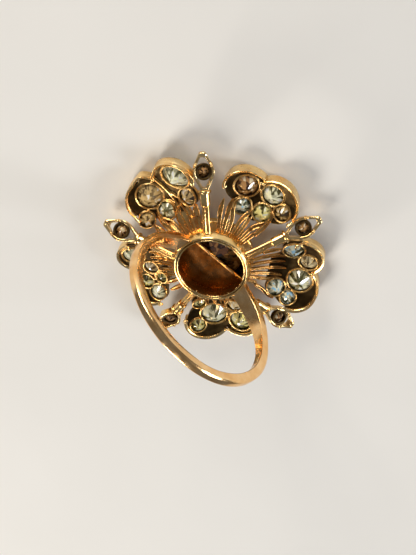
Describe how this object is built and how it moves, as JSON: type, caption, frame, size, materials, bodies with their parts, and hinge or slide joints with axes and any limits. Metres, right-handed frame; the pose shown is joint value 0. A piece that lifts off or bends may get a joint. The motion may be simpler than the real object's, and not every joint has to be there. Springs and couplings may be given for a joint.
{
  "type": "cocktail ring",
  "caption": "Gold cocktail ring: plain band, open round tube and a flower head of two-lobed petals and pointed sepals set with open-backed old-cut stones.",
  "frame": {"origin": "centre of the finger hole, midway across the band's width", "axes": "+Y along the finger, +Z from the flower head through the finger hole to the back of the band, so the ring lies head down; +X across the band from shoulder to shoulder"},
  "size_m": [0.0258, 0.0255, 0.0226],
  "materials": {
    "gold_polished": "polished",
    "gold_satin": "satin",
    "stone_clear": "polished",
    "stone_champagne": "polished"
  },
  "bodies": {
    "root": {"shank": "gold_polished", "centre_tube": "gold_polished", "tube_liner": "gold_polished", "back_plate": "gold_satin", "centre_bezel": "gold_polished", "centre_stone": "stone_clear", "petal_1_plate": "gold_satin", "petal_1_rim": "gold_polished", "petal_1_ribs": "gold_satin", "petal_1_large_stones": "stone_clear", "petal_1_small_stones": "stone_champagne", "sepal_1_stem": "gold_satin", "sepal_1_sleeve": "gold_polished", "sepal_1_leaf": "gold_polished", "sepal_1_collet": "gold_polished", "sepal_1_stone": "stone_champagne", "petal_2_plate": "gold_satin", "petal_2_rim": "gold_polished", "petal_2_ribs": "gold_satin", "petal_2_large_stones": "stone_clear", "petal_2_small_stones": "stone_champagne", "sepal_2_stem": "gold_satin", "sepal_2_sleeve": "gold_polished", "sepal_2_leaf": "gold_polished", "sepal_2_collet": "gold_polished", "sepal_2_stone": "stone_champagne", "petal_3_plate": "gold_satin", "petal_3_rim": "gold_polished", "petal_3_ribs": "gold_satin", "petal_3_large_stones": "stone_clear", "petal_3_small_stones": "stone_champagne", "sepal_3_stem": "gold_satin", "sepal_3_sleeve": "gold_polished", "sepal_3_leaf": "gold_polished", "sepal_3_collet": "gold_polished", "sepal_3_stone": "stone_champagne", "petal_4_plate": "gold_satin", "petal_4_rim": "gold_polished", "petal_4_ribs": "gold_satin", "petal_4_large_stones": "stone_clear", "petal_4_small_stones": "stone_champagne", "sepal_4_stem": "gold_satin", "sepal_4_sleeve": "gold_polished", "sepal_4_leaf": "gold_polished", "sepal_4_collet": "gold_polished", "sepal_4_stone": "stone_champagne", "petal_5_plate": "gold_satin", "petal_5_rim": "gold_polished", "petal_5_ribs": "gold_satin", "petal_5_large_stones": "stone_clear", "petal_5_small_stones": "stone_champagne", "sepal_5_stem": "gold_satin", "sepal_5_sleeve": "gold_polished", "sepal_5_leaf": "gold_polished", "sepal_5_collet": "gold_polished", "sepal_5_stone": "stone_champagne"}
  },
  "joints": []
}
